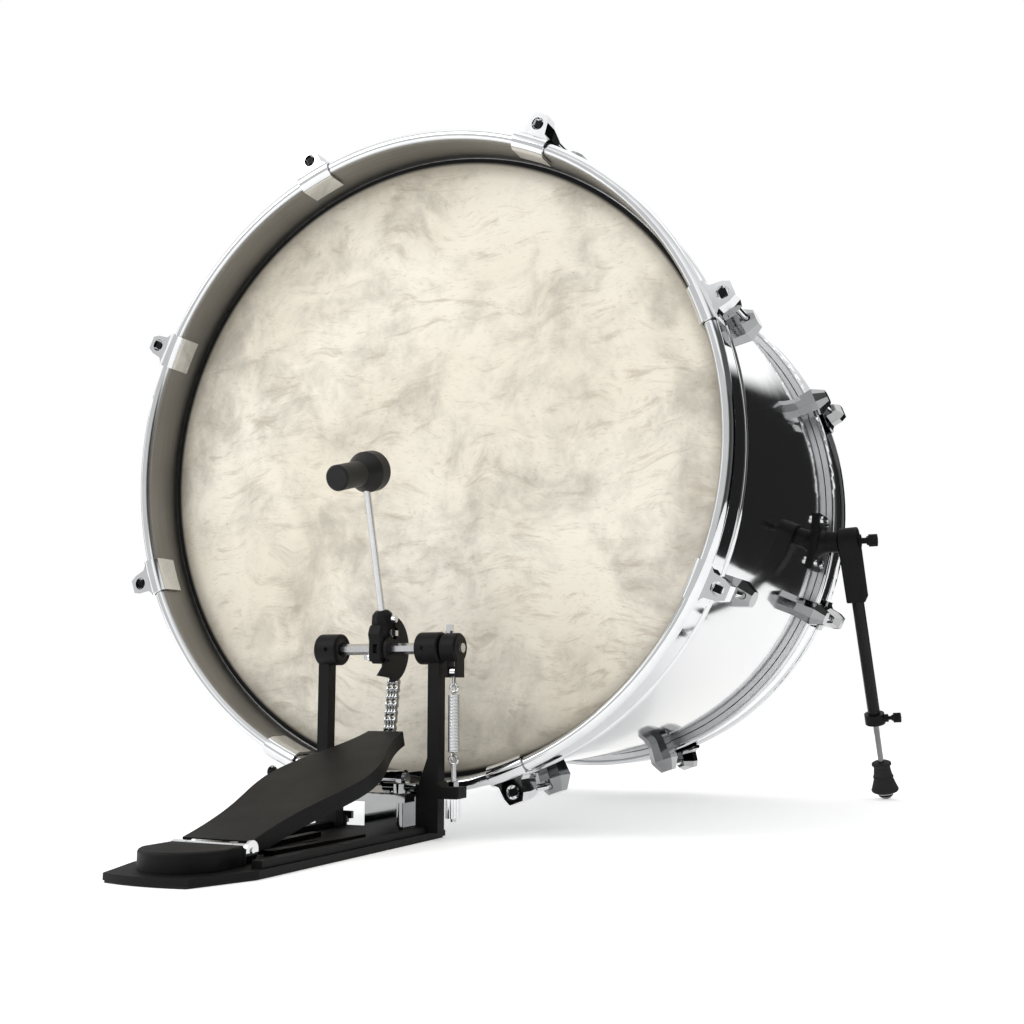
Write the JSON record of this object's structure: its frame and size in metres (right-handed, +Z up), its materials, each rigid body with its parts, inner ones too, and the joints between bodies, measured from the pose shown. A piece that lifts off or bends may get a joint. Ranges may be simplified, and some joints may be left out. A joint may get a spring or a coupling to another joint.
{
  "type": "bass drum",
  "caption": "Bass drum with claw-tensioned metal hoops on two folding spurs, with a chain-drive kick pedal clamped to its batter hoop.",
  "frame": {"origin": "bottom centre of the whole object's box, on the floor, in the drum's plane of symmetry", "axes": "+Z up; +Y along the drum axis from the pedal and batter side to the resonant side; +X to the player's right"},
  "size_m": [0.6884, 0.826, 0.618],
  "materials": {
    "chrome": "mirror-polished plating",
    "mirror_wrap": "wooden plies under a mirror-finish wrap",
    "drum_head": "mottled natural-skin look film",
    "matte_black": "satin powder coat",
    "black_plastic": "moulded, fine texture",
    "rubber": "matte moulded rubber",
    "steel": "ground and plated",
    "aluminium": "plain",
    "brass": "plain turned"
  },
  "bodies": {
    "root": {"shell": "mirror_wrap", "batter_head": "drum_head", "resonant_head": "drum_head", "flesh_hoops": "aluminium", "batter_hoop": "chrome", "resonant_hoop": "chrome", "batter_claws": "chrome", "resonant_claws": "chrome", "claw_liners": "rubber", "tension_rods": "chrome", "batter_lugs": "chrome", "resonant_lugs": "chrome", "lug_screws": "steel", "lug_nuts": "brass", "air_vent": "chrome", "spur_brackets": "chrome", "bracket_screws": "chrome", "base_plate": "matte_black", "base_pad": "rubber", "heel_plate": "matte_black", "heel_hinge": "chrome", "pivot_pins": "chrome", "left_post": "matte_black", "right_post": "matte_black", "left_bearing_housing": "matte_black", "right_bearing_housing": "matte_black", "shaft_bearings": "steel", "spring_arm": "matte_black", "clamp_cradle": "chrome", "pedal_screws": "chrome"},
    "beater_shaft": {"shaft": "steel", "cam": "matte_black", "beater_hub": "matte_black", "key_screws": "chrome", "rocker": "matte_black"},
    "footboard": {"footboard": "matte_black", "footboard_hinge": "chrome"},
    "chain": {"chain": "chrome"},
    "spring": {"spring": "chrome"},
    "spring_link": {"spring_link": "chrome"},
    "spring_rod": {"spring_rod": "steel"},
    "spring_adjuster": {"spring_adjuster": "chrome"},
    "beater": {"beater_rod": "steel", "beater_head": "black_plastic"},
    "clamp_jaw": {"clamp_jaw": "chrome"},
    "clamp_screw": {"clamp_screw": "chrome"},
    "left_spur": {"left_spur_housing": "matte_black", "left_spur_tube": "matte_black", "left_spur_collar": "matte_black"},
    "left_housing_screw": {"left_housing_screw": "black_plastic"},
    "left_collar_screw": {"left_collar_screw": "black_plastic"},
    "left_spur_rod": {"left_spur_rod": "steel", "left_spur_foot": "rubber"},
    "right_spur": {"right_spur_housing": "matte_black", "right_spur_tube": "matte_black", "right_spur_collar": "matte_black"},
    "right_housing_screw": {"right_housing_screw": "black_plastic"},
    "right_collar_screw": {"right_collar_screw": "black_plastic"},
    "right_spur_rod": {"right_spur_rod": "steel", "right_spur_foot": "rubber"}
  },
  "joints": [
    {"name": "beater_swing", "type": "hinge", "parent": "root", "child": "beater_shaft", "pos_m": [0, -0.132, 0.151], "axis": [-1, 0, 0], "range_deg": [-12, 33.5], "stiffness_Nm_per_rad": 1.2},
    {"name": "footboard_press", "type": "hinge", "parent": "root", "child": "footboard", "pos_m": [0, -0.345, 0.0155], "axis": [-1, 0, 0], "range_deg": [-1.41, 3.83]},
    {"name": "chain_swing", "type": "hinge", "parent": "footboard", "child": "chain", "pos_m": [0, -0.1165, 0.08], "axis": [-1, 0, 0], "range_deg": [-8.26, 2.99]},
    {"name": "spring_swing", "type": "hinge", "parent": "spring_rod", "child": "spring", "pos_m": [0.068, -0.132, 0.0666], "axis": [-1, 0, 0], "range_deg": [-8.98, 3.25], "deforming": ["spring"]},
    {"name": "spring_link_swing", "type": "hinge", "parent": "beater_shaft", "child": "spring_link", "pos_m": [0.068, -0.132, 0.132], "axis": [-1, 0, 0], "range_deg": [-42.48, 15.25]},
    {"name": "beater_height", "type": "slide", "parent": "beater_shaft", "child": "beater", "axis": [0, -0.2588, 0.9659], "range_m": [-0.012, 0]},
    {"name": "spring_adjuster_turn", "type": "hinge", "parent": "root", "child": "spring_adjuster", "pos_m": [0.068, -0.132, 0.025], "axis": [0, 0, 1], "range_deg": [-720, 720]},
    {"name": "spring_rod_travel", "type": "slide", "parent": "root", "child": "spring_rod", "axis": [0, 0, 1], "range_m": [-0.00165, 0.00165]},
    {"name": "clamp_screw_turn", "type": "hinge", "parent": "root", "child": "clamp_screw", "pos_m": [0.034, -0.157, 0.02], "axis": [0, 0, 1], "range_deg": [0, 480]},
    {"name": "clamp_jaw_open", "type": "hinge", "parent": "root", "child": "clamp_jaw", "pos_m": [0, -0.119, 0.046], "axis": [1, 0, 0], "range_deg": [0, 5.2]},
    {"name": "left_spur_fold", "type": "hinge", "parent": "root", "child": "left_spur", "pos_m": [-0.308, 0.305, 0.272], "axis": [1, 0, 0], "range_deg": [-108, 40]},
    {"name": "left_spur_extend", "type": "slide", "parent": "left_spur", "child": "left_spur_rod", "axis": [-0.0457, 0.3328, -0.9419], "range_m": [-0.035, 0.05]},
    {"name": "left_spur_screw_turn", "type": "hinge", "parent": "root", "child": "left_housing_screw", "pos_m": [-0.308, 0.305, 0.272], "axis": [1, 0, 0], "range_deg": [0, 360]},
    {"name": "left_collar_screw_turn", "type": "hinge", "parent": "left_spur", "child": "left_collar_screw", "pos_m": [-0.31698, 0.3704, 0.08692], "axis": [-0.9988, 0, 0.0485], "range_deg": [0, 360]},
    {"name": "right_spur_fold", "type": "hinge", "parent": "root", "child": "right_spur", "pos_m": [0.308, 0.305, 0.272], "axis": [1, 0, 0], "range_deg": [-108, 40]},
    {"name": "right_spur_extend", "type": "slide", "parent": "right_spur", "child": "right_spur_rod", "axis": [0.0457, 0.3328, -0.9419], "range_m": [-0.035, 0.05]},
    {"name": "right_spur_screw_turn", "type": "hinge", "parent": "root", "child": "right_housing_screw", "pos_m": [0.308, 0.305, 0.272], "axis": [1, 0, 0], "range_deg": [0, 360]},
    {"name": "right_collar_screw_turn", "type": "hinge", "parent": "right_spur", "child": "right_collar_screw", "pos_m": [0.31698, 0.3704, 0.08692], "axis": [0.9988, 0, 0.0485], "range_deg": [0, 360]}
  ],
  "couplings": [
    {"joint": "footboard_press", "follows": "beater_swing", "ratio": 0.1129},
    {"joint": "chain_swing", "follows": "beater_swing", "ratio": -0.2452},
    {"joint": "spring_swing", "follows": "beater_swing", "ratio": -0.26663},
    {"joint": "spring_link_swing", "follows": "beater_swing", "ratio": -1.2666},
    {"joint": "spring_rod_travel", "follows": "spring_adjuster_turn", "m_per_rad": 0.00012732},
    {"joint": "clamp_jaw_open", "follows": "clamp_screw_turn", "ratio": 0.010625}
  ]
}
